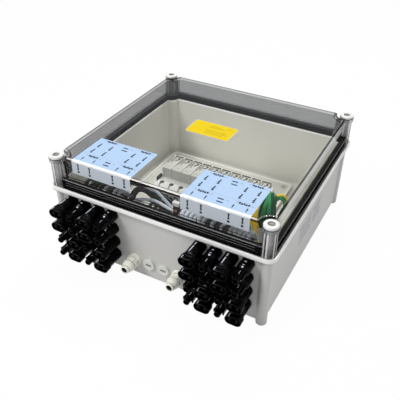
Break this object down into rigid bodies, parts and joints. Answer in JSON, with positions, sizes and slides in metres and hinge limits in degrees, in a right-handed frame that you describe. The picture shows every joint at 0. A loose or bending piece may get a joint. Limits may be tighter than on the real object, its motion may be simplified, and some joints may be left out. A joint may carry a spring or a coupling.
{
  "type": "solar combiner box",
  "caption": "Moulded junction box with a clear screwed lid, a rail of plug-in surge modules, panel sockets along one wall, cable glands and blanking plugs.",
  "frame": {"origin": "middle of the plane of the four feet, between the four lid screw axes", "axes": "+Z out of the lid, -Y the way the sockets face, +X to the right seen from the sockets"},
  "size_m": [0.356, 0.382, 0.1733],
  "materials": {
    "box_plastic": "fine moulded grain",
    "clear_lid": "clear polycarbonate, glossy",
    "seal": "black foamed seal",
    "washer": "black ring",
    "lid_screw": "white moulded",
    "plate": "pale beige sheet",
    "screw_steel": "zinc plated",
    "rail_steel": "zinc plated",
    "module_base": "light warm grey",
    "module_cartridge": "mid grey",
    "terminal_plastic": "off-white",
    "clamp_metal": "bare",
    "earth_brass": "bare",
    "socket_black": "black, slightly rough",
    "gland_plastic": "cream white",
    "plug_plastic": "light grey",
    "nut_plastic": "light grey",
    "string_cable": "black sheath",
    "earth_cable": "green and yellow sheath",
    "white_label": "white film",
    "yellow_label": "yellow film",
    "side_label": "pale film"
  },
  "bodies": {
    "box": {"base_shell": "box_plastic", "blanking_plugs": "plug_plastic", "din_rail": "rail_steel", "earth_bar": "earth_brass", "earth_screws": "screw_steel", "earth_wires": "earth_cable", "entry_lock_nuts": "nut_plastic", "gland_bodies": "gland_plastic", "mounting_plate": "plate", "plate_screws": "screw_steel", "rail_screws": "screw_steel", "side_label": "side_label", "sockets_left_row_1": "socket_black", "sockets_left_row_2": "socket_black", "sockets_left_row_3": "socket_black", "sockets_left_row_4": "socket_black", "sockets_right_row_1": "socket_black", "sockets_right_row_2": "socket_black", "sockets_right_row_3": "socket_black", "sockets_right_row_4": "socket_black", "string_wires": "string_cable", "surge_bases": "module_base", "terminal_clamps": "clamp_metal", "terminal_strip": "terminal_plastic"},
    "lid": {"lid_shell": "clear_lid", "lid_gasket": "seal", "lid_screw_washers": "washer", "string_label_left": "white_label", "string_label_right": "white_label", "yellow_label": "yellow_label"},
    "screw_front_left": {"lid_screw_front_left": "lid_screw"},
    "screw_front_right": {"lid_screw_front_right": "lid_screw"},
    "screw_back_left": {"lid_screw_back_left": "lid_screw"},
    "screw_back_right": {"lid_screw_back_right": "lid_screw"},
    "cartridge_01": {"surge_cartridge_01": "module_cartridge"},
    "cartridge_02": {"surge_cartridge_02": "module_cartridge"},
    "cartridge_03": {"surge_cartridge_03": "module_cartridge"},
    "cartridge_04": {"surge_cartridge_04": "module_cartridge"},
    "cartridge_05": {"surge_cartridge_05": "module_cartridge"},
    "cartridge_06": {"surge_cartridge_06": "module_cartridge"},
    "cartridge_07": {"surge_cartridge_07": "module_cartridge"},
    "cartridge_08": {"surge_cartridge_08": "module_cartridge"},
    "cartridge_09": {"surge_cartridge_09": "module_cartridge"},
    "cartridge_10": {"surge_cartridge_10": "module_cartridge"},
    "cap_nut_left": {"gland_cap_nut_left": "gland_plastic"},
    "cap_nut_right": {"gland_cap_nut_right": "gland_plastic"}
  },
  "joints": [
    {"name": "lid_lift", "type": "slide", "parent": "box", "child": "lid", "axis": [0, 0, 1], "range_m": [0, 0.12]},
    {"name": "screw_turn_front_left", "type": "hinge", "parent": "lid", "child": "screw_front_left", "pos_m": [-0.165, -0.162, 0.15], "axis": [0, 0, 1], "continuous": true},
    {"name": "screw_turn_front_right", "type": "hinge", "parent": "lid", "child": "screw_front_right", "pos_m": [0.165, -0.162, 0.15], "axis": [0, 0, 1], "continuous": true},
    {"name": "screw_turn_back_left", "type": "hinge", "parent": "lid", "child": "screw_back_left", "pos_m": [-0.165, 0.162, 0.15], "axis": [0, 0, 1], "continuous": true},
    {"name": "screw_turn_back_right", "type": "hinge", "parent": "lid", "child": "screw_back_right", "pos_m": [0.165, 0.162, 0.15], "axis": [0, 0, 1], "continuous": true},
    {"name": "cartridge_pull_01", "type": "slide", "parent": "box", "child": "cartridge_01", "axis": [0, 0, 1], "range_m": [0, 0.035]},
    {"name": "cartridge_pull_02", "type": "slide", "parent": "box", "child": "cartridge_02", "axis": [0, 0, 1], "range_m": [0, 0.035]},
    {"name": "cartridge_pull_03", "type": "slide", "parent": "box", "child": "cartridge_03", "axis": [0, 0, 1], "range_m": [0, 0.035]},
    {"name": "cartridge_pull_04", "type": "slide", "parent": "box", "child": "cartridge_04", "axis": [0, 0, 1], "range_m": [0, 0.035]},
    {"name": "cartridge_pull_05", "type": "slide", "parent": "box", "child": "cartridge_05", "axis": [0, 0, 1], "range_m": [0, 0.035]},
    {"name": "cartridge_pull_06", "type": "slide", "parent": "box", "child": "cartridge_06", "axis": [0, 0, 1], "range_m": [0, 0.035]},
    {"name": "cartridge_pull_07", "type": "slide", "parent": "box", "child": "cartridge_07", "axis": [0, 0, 1], "range_m": [0, 0.035]},
    {"name": "cartridge_pull_08", "type": "slide", "parent": "box", "child": "cartridge_08", "axis": [0, 0, 1], "range_m": [0, 0.035]},
    {"name": "cartridge_pull_09", "type": "slide", "parent": "box", "child": "cartridge_09", "axis": [0, 0, 1], "range_m": [0, 0.035]},
    {"name": "cartridge_pull_10", "type": "slide", "parent": "box", "child": "cartridge_10", "axis": [0, 0, 1], "range_m": [0, 0.035]},
    {"name": "cap_nut_turn_left", "type": "hinge", "parent": "box", "child": "cap_nut_left", "pos_m": [-0.0375, -0.18, 0.0325], "axis": [0, -1, 0], "continuous": true},
    {"name": "cap_nut_turn_right", "type": "hinge", "parent": "box", "child": "cap_nut_right", "pos_m": [0.0375, -0.18, 0.0325], "axis": [0, -1, 0], "continuous": true}
  ]
}
